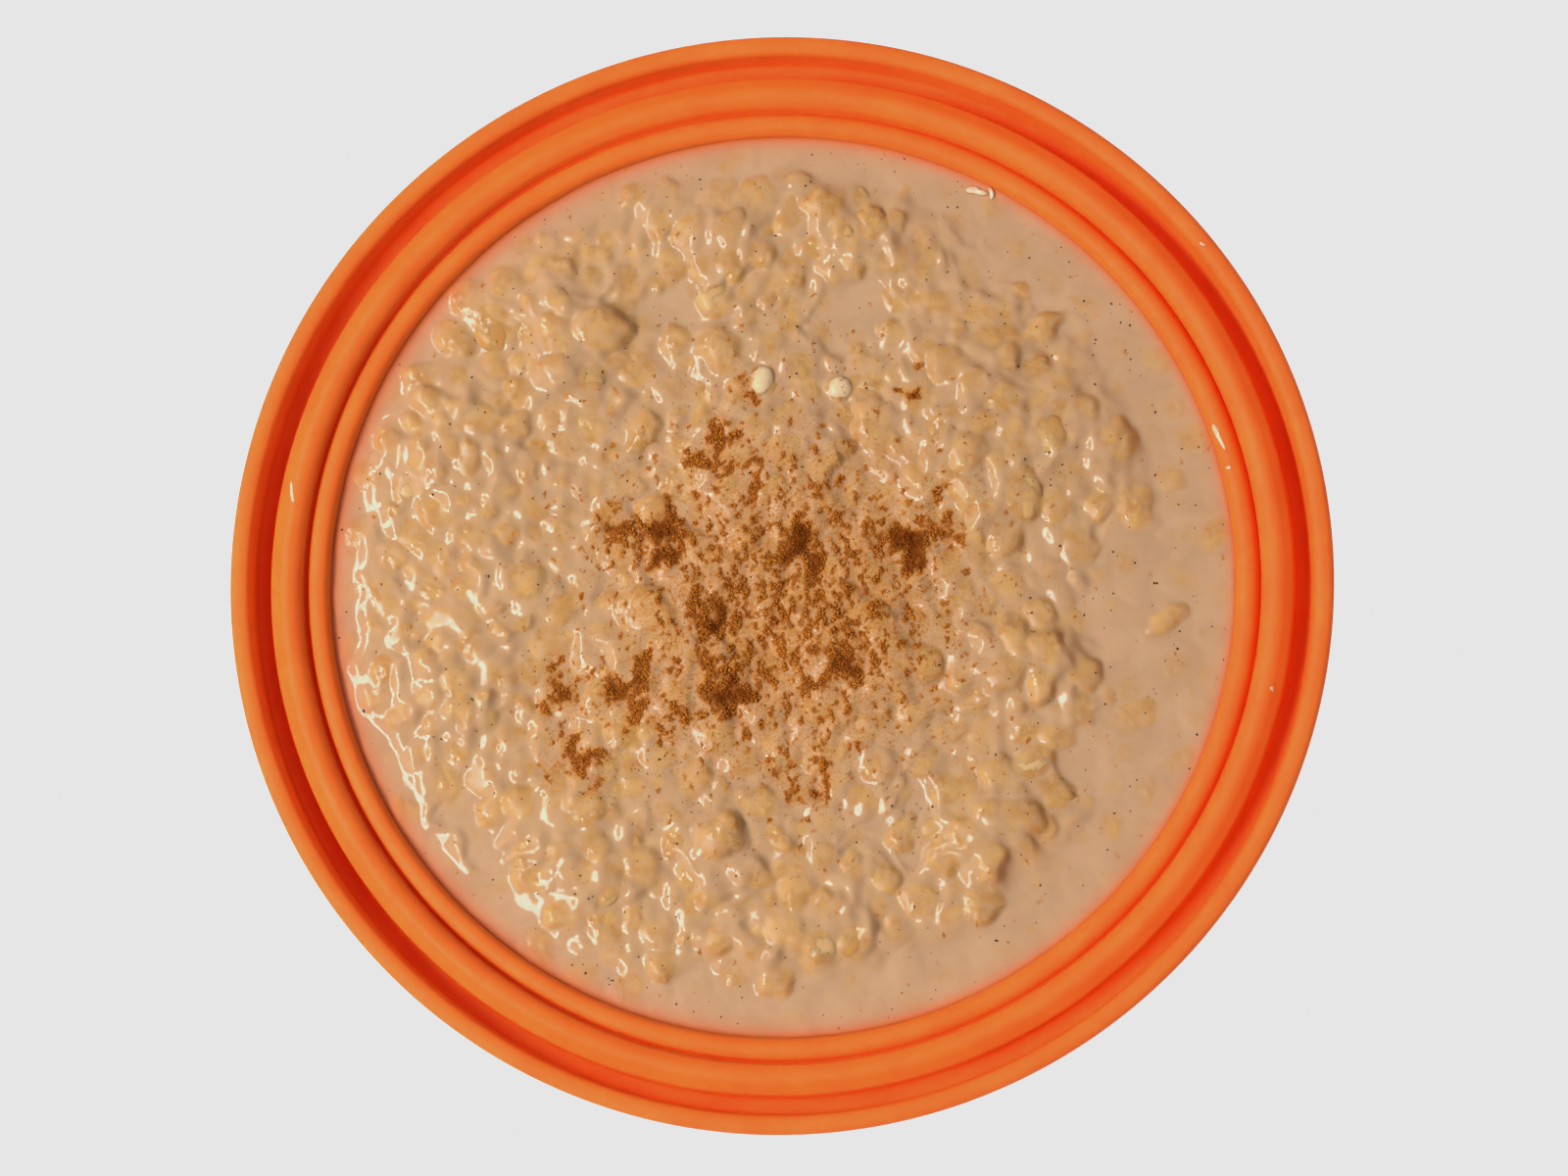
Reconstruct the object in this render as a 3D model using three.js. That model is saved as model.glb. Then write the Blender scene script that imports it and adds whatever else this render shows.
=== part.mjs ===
// A round plastic bowl with a stepped rim, filled nearly to its lip with rice pudding.
// Millimetres, +Z up. The origin is the centre of the base, where the foot ring stands.

import * as THREE from 'three';

// Bowl: overall sizes.
const RIM_RADIUS = 90;
const BOWL_HEIGHT = 56;
const WALL = 2.4;
const FLOOR_TOP = 4.6;
const BOWL_SEGMENTS = 56;

// Bowl: the rim's rings, from the outer edge inwards. A drop is measured down from the rim's top.
const BEAD_CREST_RADIUS = 88.6;
const BEAD_INNER_RADIUS = 86.8;
const BEAD_STEP_DROP = 1.6;
const SKIRT_RADIUS = 88.6;
const SKIRT_DROP = 10.4;
const GROOVE_OUTER_RADIUS = 86.7;
const GROOVE_INNER_RADIUS = 84.1;
const GROOVE_DROP = 8.4;
const RIDGE_SHOULDER_RADIUS = 83.8;
const RIDGE_SHOULDER_DROP = 3.7;
const RIDGE_CREST_RADIUS = 80.9;
const RIDGE_CREST_DROP = 2.1;
const CREASE_RADIUS = 78.4;
const CREASE_DROP = 6.6;
const LIP_SHOULDER_RADIUS = 77.9;
const LIP_SHOULDER_DROP = 5.6;
const LIP_CREST_RADIUS = 76.3;
const LIP_CREST_DROP = 4.7;
const WALL_TOP_RADIUS = 74.4;
const WALL_TOP_DROP = 6.5;
const WALL_FULLNESS = 2.4; // 2 is an elliptical bowl, more is a squarer one
const WALL_STEPS = 9;

// Bowl: the ring it stands on.
const FOOT_INNER_RADIUS = 35;
const FOOT_OUTER_RADIUS = 39;
const FOOT_HEIGHT = 2.2;

// Pudding.
const MILK_DROP = 7.6;
const CLEARANCE = 0.4;
const MENISCUS_HEIGHT = 0.7;
const MENISCUS_REACH = 2.5;
const TOP_RINGS = 23;
const POINTS_PER_RING = 6; // ring k has this many points times k, so that the cells stay alike
const BODY_RING_SHARES = [0.5, 0.5, 0.4, 0.34, 0.25, 0.17, 0.1];

// Rice: one swollen grain, how closely grains lie, and how far they stand out of the milk.
const GRAIN_LENGTH = 8.6;
const GRAIN_WIDTH = 5.4;
const GRAIN_SPACING = 6.4;
const GRAIN_RISE = 1;
const MARGIN_OF_MILK = 6;
const SEED = 11;

// The heaps that stand above the rest: bearing from +X in degrees, distance from the
// centre as a share of the pudding's radius, then breadth and height.
const HEAPS = [
  { bearing: 78, share: 0.83, breadth: 8, height: 2.0 },
  { bearing: 100, share: 0.78, breadth: 8, height: 1.4 },
  { bearing: 130, share: 0.74, breadth: 9, height: 2.2 },
  { bearing: 158, share: 0.74, breadth: 11, height: 1.7 },
  { bearing: 182, share: 0.6, breadth: 9, height: 1.2 },
  { bearing: 197, share: 0.76, breadth: 10, height: 1.5 },
  { bearing: 233, share: 0.73, breadth: 12, height: 1.8 },
  { bearing: 257, share: 0.6, breadth: 7, height: 1.5 },
  { bearing: 262, share: 0.86, breadth: 8, height: 1.7 },
  { bearing: 277, share: 0.78, breadth: 9, height: 1.4 },
  { bearing: 309, share: 0.76, breadth: 10, height: 2 },
  { bearing: 340, share: 0.53, breadth: 8, height: 1.8 },
  { bearing: 25, share: 0.78, breadth: 9, height: 1.6 },
  { bearing: 36, share: 0.54, breadth: 14, height: 2.5 },
  { bearing: 95, share: 0.26, breadth: 13, height: 1.8 },
  { bearing: 215, share: 0.3, breadth: 12, height: 1.7 },
  { bearing: 320, share: 0.22, breadth: 11, height: 1.5 },
];

const FULL_TURN = 2 * Math.PI;

function seededRandom(seed) {
  let state = seed;
  return () => {
    state = (Math.imul(state, 1664525) + 1013904223) >>> 0;
    return state / 2 ** 32;
  };
}

// The bowl's inner wall, from the top of the wall to the middle of the floor. A positive
// offset moves it out, into the plastic, and a negative one moves it in, into the pudding.
function innerWall(offset, topDrop = WALL_TOP_DROP) {
  const wallTop = BOWL_HEIGHT - WALL_TOP_DROP;
  const depth = wallTop - FLOOR_TOP + offset;
  const radius = WALL_TOP_RADIUS + offset;
  const power = 2 / WALL_FULLNESS;
  const down = Math.max(0, topDrop - WALL_TOP_DROP) / depth;
  const start = Math.asin(down ** (1 / power));
  const points = [];
  for (let step = 0; step <= WALL_STEPS; step += 1) {
    const angle = start + ((Math.PI / 2 - start) * step) / WALL_STEPS;
    const across = step === WALL_STEPS ? 0 : radius * Math.cos(angle) ** power;
    points.push(new THREE.Vector2(across, wallTop - depth * Math.sin(angle) ** power));
  }
  return points;
}

// The rim's upper side, from the foot of the outer skirt to the top of the inner wall.
function rimOutline() {
  const top = BOWL_HEIGHT;
  const groove = top - GROOVE_DROP;
  const shoulder = top - RIDGE_SHOULDER_DROP;
  const crest = top - RIDGE_CREST_DROP;
  const lip = top - LIP_CREST_DROP;
  const grooveMiddle = (GROOVE_OUTER_RADIUS + GROOVE_INNER_RADIUS) / 2;
  const outline = new THREE.Path();
  outline.moveTo(SKIRT_RADIUS, top - SKIRT_DROP);
  outline.lineTo(RIM_RADIUS, top - 1.5);
  outline.quadraticCurveTo(RIM_RADIUS, top, BEAD_CREST_RADIUS, top);
  outline.quadraticCurveTo(BEAD_INNER_RADIUS, top, BEAD_INNER_RADIUS, top - BEAD_STEP_DROP);
  outline.lineTo(GROOVE_OUTER_RADIUS, groove + 0.9);
  outline.lineTo(grooveMiddle, groove);
  outline.lineTo(GROOVE_INNER_RADIUS, groove + 0.9);
  outline.lineTo(RIDGE_SHOULDER_RADIUS, shoulder - 0.6);
  outline.lineTo(RIDGE_SHOULDER_RADIUS - 0.7, shoulder + 0.35);
  outline.lineTo(RIDGE_CREST_RADIUS + 1.3, crest - 0.5);
  outline.quadraticCurveTo(RIDGE_CREST_RADIUS + 0.6, crest, RIDGE_CREST_RADIUS, crest);
  outline.quadraticCurveTo(RIDGE_CREST_RADIUS - 1.2, crest, CREASE_RADIUS + 0.35, crest - 1.4);
  outline.lineTo(CREASE_RADIUS, top - CREASE_DROP);
  outline.lineTo(LIP_SHOULDER_RADIUS, top - LIP_SHOULDER_DROP);
  outline.quadraticCurveTo(LIP_SHOULDER_RADIUS - 0.6, lip, LIP_CREST_RADIUS, lip);
  outline.quadraticCurveTo(WALL_TOP_RADIUS + 0.5, lip, WALL_TOP_RADIUS, top - WALL_TOP_DROP);
  return outline.getPoints(3);
}

// The underside, from its middle out over the foot ring and up the body to the skirt.
function underside() {
  const body = innerWall(WALL).filter((point) => point.x > FOOT_OUTER_RADIUS + 2);
  const points = [
    new THREE.Vector2(0, FOOT_HEIGHT),
    new THREE.Vector2(FOOT_INNER_RADIUS - 1, FOOT_HEIGHT),
    new THREE.Vector2(FOOT_INNER_RADIUS, 0),
    new THREE.Vector2(FOOT_OUTER_RADIUS, 0),
    new THREE.Vector2(FOOT_OUTER_RADIUS + 1, FOOT_HEIGHT),
  ];
  points.push(...body.reverse());
  points.push(new THREE.Vector2(CREASE_RADIUS + 1, BOWL_HEIGHT - CREASE_DROP - 1.8));
  points.push(new THREE.Vector2(GROOVE_INNER_RADIUS, BOWL_HEIGHT - GROOVE_DROP - 1.7));
  points.push(new THREE.Vector2(GROOVE_OUTER_RADIUS + 0.4, BOWL_HEIGHT - GROOVE_DROP - 1.6));
  points.push(new THREE.Vector2(SKIRT_RADIUS - 1.3, BOWL_HEIGHT - SKIRT_DROP));
  return points;
}

function bowlGeometry() {
  const profile = [...underside(), ...rimOutline(), ...innerWall(0).slice(1)];
  const geometry = new THREE.LatheGeometry(profile, BOWL_SEGMENTS);
  geometry.rotateX(Math.PI / 2);
  return geometry;
}

// Grains of rice near the surface, on a jittered grid. Fewer of them reach the surface on
// the +X side, where the milk lies over them.
function scatterGrains(radius) {
  const random = seededRandom(SEED);
  const grains = [];
  for (let x = -radius; x < radius; x += GRAIN_SPACING) {
    for (let y = -radius; y < radius; y += GRAIN_SPACING) {
      const grain = {
        x: x + GRAIN_SPACING * random(),
        y: y + GRAIN_SPACING * random(),
        turn: Math.PI * random(),
        rise: GRAIN_RISE * (0.4 + 0.9 * random()),
      };
      const shown = random() < 0.92 - (0.5 * Math.max(0, grain.x)) / radius;
      if (shown && Math.hypot(grain.x, grain.y) < radius - MARGIN_OF_MILK) {
        grains.push(grain);
      }
    }
  }
  return grains;
}

function grainRise(grain, x, y) {
  const along = (x - grain.x) * Math.cos(grain.turn) + (y - grain.y) * Math.sin(grain.turn);
  const across = (y - grain.y) * Math.cos(grain.turn) - (x - grain.x) * Math.sin(grain.turn);
  const reach = (2 * along / GRAIN_LENGTH) ** 2 + (2 * across / GRAIN_WIDTH) ** 2;
  return grain.rise * Math.max(0, 1 - reach);
}

// How far the surface stands above the level milk at a place.
function relief(x, y, radius, grains) {
  const distance = Math.hypot(x, y);
  let height = MENISCUS_HEIGHT * Math.exp((distance - radius) / MENISCUS_REACH);
  for (const heap of HEAPS) {
    const bearing = THREE.MathUtils.degToRad(heap.bearing);
    const heapX = heap.share * radius * Math.cos(bearing);
    const heapY = heap.share * radius * Math.sin(bearing);
    const spread = ((x - heapX) ** 2 + (y - heapY) ** 2) / heap.breadth ** 2;
    height += heap.height * Math.exp(-(spread ** 1.5));
  }
  const edge = THREE.MathUtils.smoothstep(radius - distance, 0, MARGIN_OF_MILK);
  const rises = grains.map((grain) => grainRise(grain, x, y));
  return height * (0.3 + 0.7 * edge) + edge * Math.max(0, ...rises);
}

function ringPoints(radius, count, heightAt) {
  const points = [];
  for (let index = 0; index < count; index += 1) {
    const angle = (FULL_TURN * index) / count;
    const x = radius * Math.cos(angle);
    const y = radius * Math.sin(angle);
    points.push([x, y, heightAt(x, y)]);
  }
  return points;
}

// Joins each ring to the next with triangles, whatever their numbers of points. A ring of
// one point closes the stack.
function stackRings(rings) {
  const positions = rings.flat(2);
  const faces = [];
  let first = 0;
  for (let level = 0; level + 1 < rings.length; level += 1) {
    const upper = rings[level].length;
    const lower = rings[level + 1].length;
    const next = first + upper;
    let a = 0;
    let b = 0;
    while (a < upper || b < lower) {
      const upperNow = first + (a % upper);
      const lowerNow = next + (b % lower);
      const stepUpper = b >= lower || (a < upper && (a + 1) / upper <= (b + 1) / lower);
      if (stepUpper && upper > 1) {
        faces.push(upperNow, lowerNow, first + ((a + 1) % upper));
      }
      if (!stepUpper && lower > 1) {
        faces.push(upperNow, lowerNow, next + ((b + 1) % lower));
      }
      if (stepUpper) {
        a += 1;
      } else {
        b += 1;
      }
    }
    first = next;
  }
  const geometry = new THREE.BufferGeometry();
  geometry.setAttribute('position', new THREE.Float32BufferAttribute(positions, 3));
  geometry.setIndex(faces);
  return geometry;
}

function puddingGeometry() {
  const milkLevel = BOWL_HEIGHT - MILK_DROP;
  const body = innerWall(-CLEARANCE, MILK_DROP);
  const radius = body[0].x;
  const grains = scatterGrains(radius);
  const surface = (x, y) => milkLevel + relief(x, y, radius, grains);
  const rings = [[[0, 0, surface(0, 0)]]];
  for (let ring = 1; ring <= TOP_RINGS; ring += 1) {
    rings.push(ringPoints((radius * ring) / TOP_RINGS, POINTS_PER_RING * ring, surface));
  }
  const full = POINTS_PER_RING * TOP_RINGS;
  BODY_RING_SHARES.forEach((share, index) => {
    const place = body[index + 1];
    rings.push(ringPoints(place.x, Math.round(full * share), () => place.y));
  });
  const bottom = body[body.length - 1];
  rings.push([[0, 0, bottom.y]]);
  return stackRings(rings);
}

function namedMesh(name, geometry, material) {
  geometry.computeVertexNormals();
  const mesh = new THREE.Mesh(geometry, material);
  mesh.name = name;
  return mesh;
}

const orangePlastic = new THREE.MeshStandardMaterial({
  color: 0xe5722e,
  roughness: 0.35,
  metalness: 0,
});
const ricePudding = new THREE.MeshStandardMaterial({
  color: 0xc69468,
  roughness: 0.3,
  metalness: 0,
});

const filledBowl = new THREE.Group();
filledBowl.add(namedMesh('bowl', bowlGeometry(), orangePlastic));
filledBowl.add(namedMesh('pudding', puddingGeometry(), ricePudding));

export default filledBowl;
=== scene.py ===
"""Rice pudding dusted with cinnamon, in its round orange plastic bowl. Lengths are in metres."""

import math
from typing import NamedTuple

import bpy
import numpy as np
from mathutils import Matrix, Vector
from mathutils.bvhtree import BVHTree


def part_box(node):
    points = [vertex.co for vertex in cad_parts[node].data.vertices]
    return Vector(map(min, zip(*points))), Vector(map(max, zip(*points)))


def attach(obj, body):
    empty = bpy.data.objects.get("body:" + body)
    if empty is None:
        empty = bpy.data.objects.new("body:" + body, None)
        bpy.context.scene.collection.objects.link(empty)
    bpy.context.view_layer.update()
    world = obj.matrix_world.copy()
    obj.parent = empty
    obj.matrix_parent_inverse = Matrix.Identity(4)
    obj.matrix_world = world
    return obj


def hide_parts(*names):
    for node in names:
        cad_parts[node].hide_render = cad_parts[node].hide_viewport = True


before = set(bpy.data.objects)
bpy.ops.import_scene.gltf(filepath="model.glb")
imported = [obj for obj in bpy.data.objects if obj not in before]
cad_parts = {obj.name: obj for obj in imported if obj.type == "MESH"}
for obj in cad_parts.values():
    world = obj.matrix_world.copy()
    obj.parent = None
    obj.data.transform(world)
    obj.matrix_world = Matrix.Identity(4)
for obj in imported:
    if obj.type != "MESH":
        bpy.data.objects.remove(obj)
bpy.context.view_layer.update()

MM = 0.001
FULL_TURN = 2 * math.pi

# The bowl's driving sizes come from the frame.
bowl_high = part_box("bowl")[1]
RIM_RADIUS = bowl_high[0]
RIM_TOP = bowl_high[2]

# The rim's upper side, repeated from the CAD part. A point is a radius and a drop below the
# rim's top, in millimetres. The curves run from the bead inward, and each has a start, a
# control point, an end and a number of steps.
SKIRT_FOOT = (88.6, 10.4)
BEAD_CREST = (88.6, 0)
GROOVE_MIDDLE = (85.4, 8.4)
RIDGE_CREST = (80.9, 2.1)
CREASE_MIDDLE = (78.4, 6.6)
LIP_CREST = (76.3, 4.7)
WALL_TOP = (74.4, 6.5)
RIM_CURVES = (
    ((RIM_RADIUS / MM, 1.5), (RIM_RADIUS / MM, 0), BEAD_CREST, 8),
    (BEAD_CREST, (86.8, 0), (86.8, 1.6), 10),
    ((86.7, 7.5), (86.7, 8.4), GROOVE_MIDDLE, 6),
    (GROOVE_MIDDLE, (84.1, 8.4), (84.1, 7.5), 6),
    ((83.8, 4.3), (83.7, 3.7), (83.1, 3.35), 5),
    ((82.2, 2.6), (81.5, 2.1), RIDGE_CREST, 8),
    (RIDGE_CREST, (79.7, 2.1), (78.75, 3.5), 10),
    ((78.6, 5.8), (78.5, 6.6), CREASE_MIDDLE, 4),
    (CREASE_MIDDLE, (78.3, 6.6), (78.2, 6.2), 4),
    ((77.9, 5.6), (77.3, 4.7), LIP_CREST, 8),
    (LIP_CREST, (74.9, 4.7), WALL_TOP, 10),
)

# The underside, in millimetres: the foot ring as radii and heights, the radius that the body
# starts from, the flange's control point and end, and the inner side of the skirt.
FOOT_RING = ((0, 2.2), (34, 2.2), (35, 0.3), (35.3, 0), (38.7, 0), (39, 0.3), (40, 2.2))
BODY_START = 41
FLANGE = ((78.4, 9.6), (84.1, 10.1))
FLANGE_STEPS = 10
SKIRT_INSIDE = ((87.1, 10), (87.2, 10.2), (87.4, 10.4))

WALL_TOP_RADIUS, WALL_TOP_DROP = (size * MM for size in WALL_TOP)
WALL_FULLNESS = 2.4
WALL = 2.4 * MM
FLOOR_TOP = 4.6 * MM
BOWL_SEGMENTS = 320

# The pudding.
MILK_DROP = 7.6 * MM
MILK_LEVEL = RIM_TOP - MILK_DROP
MILK_RINGS = 172
SIDE_STEPS = 8
INTO_WALL = 0.3 * MM


# ---------------------------------------------------------------- small tools


def seeded(seed):
    return np.random.default_rng(seed)


def smoothstep(value, low, high):
    share = np.clip((value - low) / (high - low), 0, 1)
    return share * share * (3 - 2 * share)


def smooth_max(a, b, blend):
    overlap = np.maximum(blend - np.abs(a - b), 0)
    return np.maximum(a, b) + overlap * overlap / (4 * blend)


def polar(bearing, reach):
    """(x, y) of a place given by its bearing from +X in degrees and its distance out."""
    angle = math.radians(bearing)
    return reach * math.cos(angle), reach * math.sin(angle)


def turned(x, y, angle):
    """(x, y) along and across a direction."""
    cosine, sine = math.cos(angle), math.sin(angle)
    return x * cosine + y * sine, y * cosine - x * sine


class Ripples:
    """A smooth random field of about unit size, the sum of sine waves in random directions."""

    def __init__(self, rng, wavelength, dimensions=2, waves=28):
        directions = rng.normal(size=(waves, dimensions))
        directions /= np.linalg.norm(directions, axis=1, keepdims=True)
        numbers = FULL_TURN / (wavelength * rng.uniform(0.7, 1.5, waves))
        self.waves = directions * numbers[:, None]
        self.phases = rng.uniform(0, FULL_TURN, waves)

    def at(self, *axes):
        points = np.stack([np.asarray(axis, float) for axis in axes], axis=-1)
        angles = points @ self.waves.T + self.phases
        return np.sin(angles).sum(axis=-1) / math.sqrt(len(self.phases) / 2)


def add_object(name, data):
    made = bpy.data.objects.new(name, data)
    bpy.context.scene.collection.objects.link(made)
    return made


def make_piece(name, vertices, faces, material, slot_name, replaced=()):
    """A mesh object that rides on the one body."""
    mesh = bpy.data.meshes.new(name)
    mesh.from_pydata(np.asarray(vertices).tolist(), [], [list(face) for face in faces])
    mesh.polygons.foreach_set("use_smooth", [True] * len(mesh.polygons))
    mesh.materials.append(material)
    mesh.update()
    piece = add_object(name, mesh)
    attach(piece, "root")
    if replaced:
        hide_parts(*replaced)
    return piece


def add_attribute(piece, name, values):
    attribute = piece.data.attributes.new(name, "FLOAT", "POINT")
    attribute.data.foreach_set("value", np.asarray(values, np.float32))


def srgb(red, green, blue):
    """A colour given as on a screen, 0 to 255, as the linear one that a shader takes."""
    shares = [channel / 255 for channel in (red, green, blue)]
    linear = [s / 12.92 if s <= 0.04045 else ((s + 0.055) / 1.055) ** 2.4 for s in shares]
    return (*linear, 1)


class Shader:
    """A material's node tree, with short calls for the nodes that this scene uses."""

    def __init__(self, name):
        self.material = bpy.data.materials.new(name)
        self.material.use_nodes = True
        self.tree = self.material.node_tree
        self.surface = self.tree.nodes["Principled BSDF"]
        self.place = self.node("ShaderNodeTexCoord").outputs["Object"]

    def node(self, kind, **settings):
        made = self.tree.nodes.new(kind)
        for key, value in settings.items():
            setattr(made, key, value)
        return made

    def put(self, socket, value):
        """Links an output to the socket, or sets the socket's own value if there is one."""
        if isinstance(value, bpy.types.NodeSocket):
            self.tree.links.new(value, socket)
        elif value is not None:
            socket.default_value = value

    def set(self, **values):
        """Sets inputs of the surface, with _ for the spaces in their names."""
        for name, value in values.items():
            self.put(self.surface.inputs[name.replace("_", " ")], value)

    def noise(self, size, detail=2, roughness=0.5, distortion=0):
        """Noise from 0 to 1 whose lumps are about the given size across."""
        made = self.node("ShaderNodeTexNoise")
        made.inputs["Scale"].default_value = 1 / size
        made.inputs["Detail"].default_value = detail
        made.inputs["Roughness"].default_value = roughness
        made.inputs["Distortion"].default_value = distortion
        self.put(made.inputs["Vector"], self.place)
        return made.outputs["Fac"]

    def attribute(self, name):
        return self.node("ShaderNodeAttribute", attribute_name=name).outputs["Fac"]

    def math(self, operation, first, second=None, third=None):
        made = self.node("ShaderNodeMath", operation=operation)
        for socket, value in zip(made.inputs, (first, second, third)):
            self.put(socket, value)
        return made.outputs[0]

    def remap(self, value, low, high, to_low=0.0, to_high=1.0):
        made = self.node("ShaderNodeMapRange", interpolation_type="SMOOTHSTEP")
        for socket, number in zip(made.inputs, (value, low, high, to_low, to_high)):
            self.put(socket, number)
        return made.outputs["Result"]

    def mix(self, share, first, second):
        made = self.node("ShaderNodeMix", data_type="RGBA")
        for socket, value in ((0, share), (6, first), (7, second)):
            self.put(made.inputs[socket], value)
        return made.outputs[2]

    def bump(self, height, distance, normal=None):
        made = self.node("ShaderNodeBump")
        made.inputs["Distance"].default_value = distance
        self.put(made.inputs["Height"], height)
        self.put(made.inputs["Normal"], normal)
        return made.outputs["Normal"]


# ---------------------------------------------------------------- the bowl


def rim_point(radius, drop):
    """(radius, height) of a point given in millimetres, with its drop below the rim's top."""
    return radius * MM, RIM_TOP - drop * MM


def quadratic(start, control, end, steps):
    """The points of a quadratic curve after its start."""
    share = np.linspace(0, 1, steps + 1)[1:, None]
    start, control, end = (np.array(point) for point in (start, control, end))
    return (1 - share) ** 2 * start + 2 * share * (1 - share) * control + share**2 * end


def inner_wall(offset, steps=48, top_drop=WALL_TOP_DROP):
    """(radius, height) of the inner wall, from its top to the middle of the floor."""
    wall_top = RIM_TOP - WALL_TOP_DROP
    depth = wall_top - FLOOR_TOP + offset
    power = 2 / WALL_FULLNESS
    start = math.asin((max(0.0, top_drop - WALL_TOP_DROP) / depth) ** (1 / power))
    angles = np.linspace(start, math.pi / 2, steps + 1)
    across = (WALL_TOP_RADIUS + offset) * np.clip(np.cos(angles), 0, None) ** power
    across[-1] = 0
    return np.column_stack([across, wall_top - depth * np.sin(angles) ** power])


PUDDING_RADIUS = inner_wall(0, top_drop=MILK_DROP)[0, 0]


def rim_outline():
    """The rim's upper side, from the foot of the outer skirt to the top of the inner wall."""
    points = [rim_point(*SKIRT_FOOT)]
    reached = SKIRT_FOOT
    for start, control, end, steps in RIM_CURVES:
        if start != reached:
            points.append(rim_point(*start))
        points.extend(quadratic(rim_point(*start), rim_point(*control), rim_point(*end), steps))
        reached = end
    return np.vstack(points)


def underside():
    """From the middle of the base over the foot ring and up the body to the skirt."""
    body = inner_wall(WALL)
    body = body[body[:, 0] > BODY_START * MM][::-1]
    control, end = (rim_point(*point) for point in FLANGE)
    flange = quadratic(body[-1], control, end, FLANGE_STEPS)
    skirt = [rim_point(*point) for point in SKIRT_INSIDE]
    return np.vstack([MM * np.array(FOOT_RING), body, flange, skirt])


def lathe(profile, segments):
    """Vertices and faces of a profile turned round Z. It starts and ends on the axis."""
    ring_points = profile[1:-1]
    angles = np.arange(segments) * FULL_TURN / segments
    across = ring_points[:, 0][:, None]
    heights = np.repeat(ring_points[:, 1][:, None], segments, axis=1)
    rings = np.stack([across * np.cos(angles), across * np.sin(angles), heights], axis=-1)
    rings = rings.reshape(-1, 3)
    first, last = len(rings), len(rings) + 1
    vertices = np.vstack([rings, [(0, 0, profile[0, 1]), (0, 0, profile[-1, 1])]])
    faces = []
    count = len(ring_points)
    for j in range(segments):
        following = (j + 1) % segments
        faces.append((first, following, j))
        for i in range(count - 1):
            low, high = i * segments, (i + 1) * segments
            faces.append((low + j, low + following, high + following, high + j))
        top = (count - 1) * segments
        faces.append((last, top + j, top + following))
    return vertices, faces


def plastic():
    """Satin orange plastic."""
    shader = Shader("orange_plastic")
    mottle = shader.noise(9 * MM, detail=3)
    rub = shader.noise(2.2 * MM, detail=4, distortion=1.5)
    fine = shader.noise(0.35 * MM, detail=2)
    share = shader.remap(mottle, 0.35, 0.65)
    shader.set(
        Base_Color=shader.mix(share, srgb(240, 113, 42), srgb(243, 120, 46)),
        Roughness=shader.remap(rub, 0.3, 0.75, 0.5, 0.62),
        Specular_IOR_Level=0.16,
        Subsurface_Weight=0.55,
        Subsurface_Radius=(1.0, 0.05, 0.017),
        Subsurface_Scale=4 * MM,
        Normal=shader.bump(fine, 0.004 * MM),
    )
    return shader.material


# ---------------------------------------------------------------- the surface of the pudding

# Heaps that stand above the rest: bearing from +X in degrees, distance from the centre as
# a share of the pudding's radius, then breadth and height in millimetres.
HEAPS = (
    (78, 0.83, 8, 2.0),
    (100, 0.78, 8, 1.4),
    (130, 0.74, 9, 2.2),
    (158, 0.74, 11, 1.7),
    (182, 0.60, 9, 1.2),
    (197, 0.76, 10, 1.5),
    (233, 0.73, 12, 1.8),
    (257, 0.60, 7, 1.5),
    (262, 0.86, 8, 1.7),
    (277, 0.78, 9, 1.4),
    (309, 0.76, 10, 2.0),
    (340, 0.53, 8, 1.8),
    (25, 0.78, 9, 1.6),
    (36, 0.54, 14, 2.5),
    (95, 0.26, 13, 1.8),
    (215, 0.30, 12, 1.7),
    (320, 0.22, 11, 1.5),
)

# Pools of smooth milk, placed in the same way: bearing, share, breadth, other breadth, turn.
POOLS = (
    (111, 0.66, 11, 5, 10),
    (74, 0.62, 9, 5, 20),
    (146, 0.30, 8, 4, 0),
    (50, 0.86, 14, 5, -45),
    (354, 0.78, 11, 18, 0),
    (295, 0.62, 9, 4, 30),
    (220, 0.86, 12, 5, -50),
    (330, 0.86, 9, 12, 30),
)

# Grains that stand clear of the others, placed in the same way: bearing, share, length,
# width, turn, how far they stand out and how pale they are.
LONE_GRAINS = (
    (132, 0.455, 8.8, 5.6, 62, 1.4, 0.0),
    (44, 0.81, 8.2, 4.6, 30, 1.2, 0.0),
    (354, 0.85, 9.4, 4.2, 35, 0.9, 0.0),
    (257, 0.58, 10.4, 6.8, 60, 1.7, 0.2),
    (295, 0.62, 7.6, 5.0, 65, 1.3, 0.1),
    (180, 0.57, 9.4, 8.4, 10, 0.7, 0.0),
    (22, 0.80, 8.8, 7.6, 80, 0.9, 0.2),
    (95, 0.45, 5.0, 4.4, 80, 1.7, 1.0),
    (73, 0.45, 4.6, 4.2, 20, 1.6, 1.0),
    (104, 0.53, 9.6, 7.2, 130, 1.4, 0.1),
    (150, 0.33, 7.2, 5.2, 45, 1.0, 0.2),
    (338, 0.62, 6.8, 5.0, 70, 1.3, 0.3),
)


class Grain(NamedTuple):
    """A swollen grain: the middle of it, half its sizes, how it lies, and its coat of milk."""

    x: float
    y: float
    z: float
    long: float
    wide: float
    tall: float
    turn: float
    tilt: float
    coat: float
    tone: float
    pale: float


def milk_grid(radius):
    """(x, y) of rings of points about a middle one. Ring k has 6 k points, so cells stay alike."""
    points = [np.zeros((1, 2))]
    for ring in range(1, MILK_RINGS + 1):
        angles = np.arange(6 * ring) * FULL_TURN / (6 * ring)
        reach = radius * ring / MILK_RINGS
        points.append(reach * np.column_stack([np.cos(angles), np.sin(angles)]))
    return np.vstack(points)


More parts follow.
